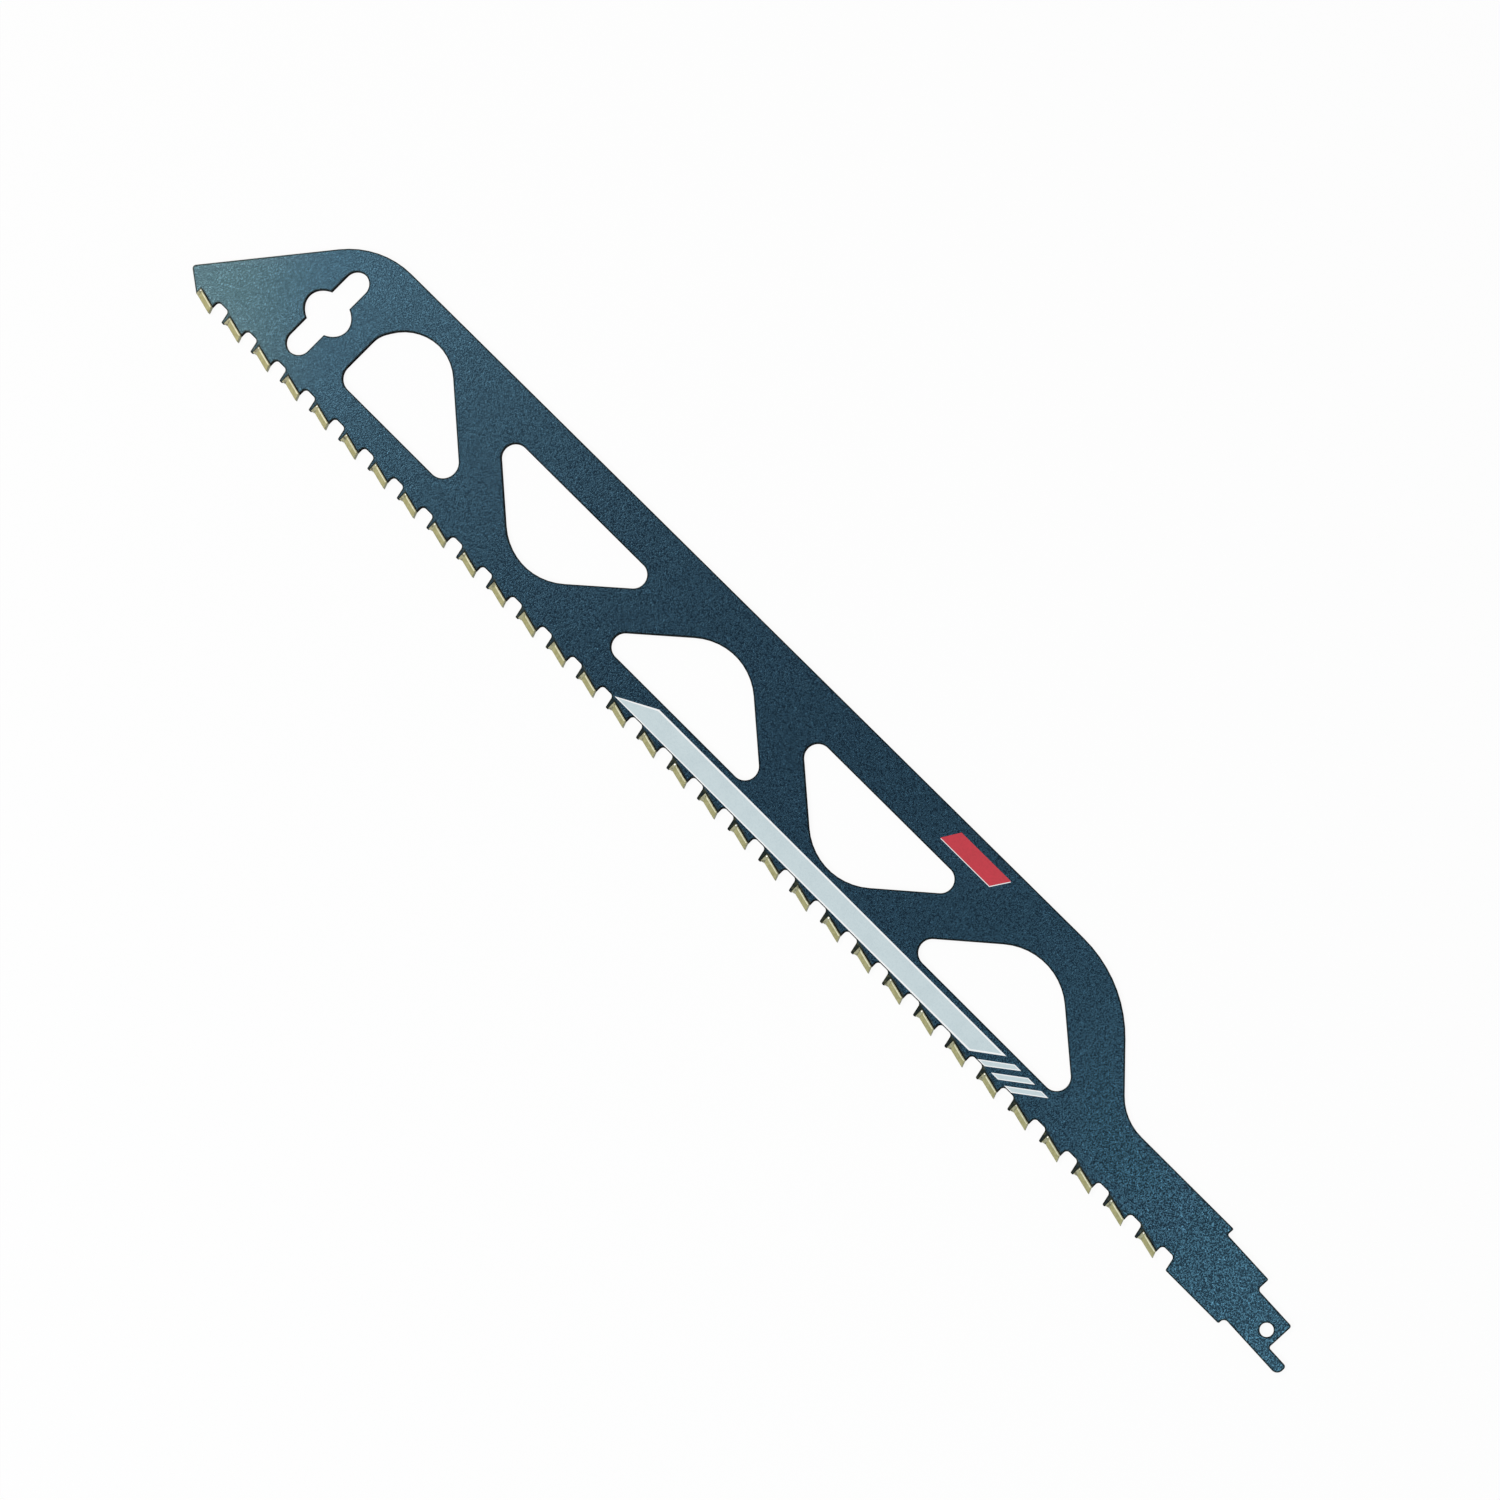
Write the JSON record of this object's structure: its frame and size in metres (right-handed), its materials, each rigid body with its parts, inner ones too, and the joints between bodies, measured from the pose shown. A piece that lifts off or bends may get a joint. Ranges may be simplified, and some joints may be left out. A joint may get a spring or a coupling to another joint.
{
  "type": "reciprocating saw blade",
  "caption": "Long flat reciprocating saw blade with brazed carbide teeth, rounded triangular windows, a hanging slot and a stepped shank with a locating hole.",
  "frame": {"origin": "centre of the shank's locating hole, midway through the plate's thickness", "axes": "+X along the blade from the nose to the shank, +Y from the teeth towards the spine, +Z out of the printed face"},
  "size_m": [0.455, 0.0505, 0.0024],
  "materials": {
    "blade_body": "satin metallic paint over steel, heat-tinted beside the teeth",
    "braze_filler": "dull as-brazed metal",
    "carbide_tip": "satin, pale gold"
  },
  "bodies": {
    "root": {"blade_body": "blade_body", "braze_filler": "braze_filler", "carbide_tip_01": "carbide_tip", "carbide_tip_02": "carbide_tip", "carbide_tip_03": "carbide_tip", "carbide_tip_04": "carbide_tip", "carbide_tip_05": "carbide_tip", "carbide_tip_06": "carbide_tip", "carbide_tip_07": "carbide_tip", "carbide_tip_08": "carbide_tip", "carbide_tip_09": "carbide_tip", "carbide_tip_10": "carbide_tip", "carbide_tip_11": "carbide_tip", "carbide_tip_12": "carbide_tip", "carbide_tip_13": "carbide_tip", "carbide_tip_14": "carbide_tip", "carbide_tip_15": "carbide_tip", "carbide_tip_16": "carbide_tip", "carbide_tip_17": "carbide_tip", "carbide_tip_18": "carbide_tip", "carbide_tip_19": "carbide_tip", "carbide_tip_20": "carbide_tip", "carbide_tip_21": "carbide_tip", "carbide_tip_22": "carbide_tip", "carbide_tip_23": "carbide_tip", "carbide_tip_24": "carbide_tip", "carbide_tip_25": "carbide_tip", "carbide_tip_26": "carbide_tip", "carbide_tip_27": "carbide_tip", "carbide_tip_28": "carbide_tip", "carbide_tip_29": "carbide_tip", "carbide_tip_30": "carbide_tip", "carbide_tip_31": "carbide_tip", "carbide_tip_32": "carbide_tip"}
  },
  "joints": []
}
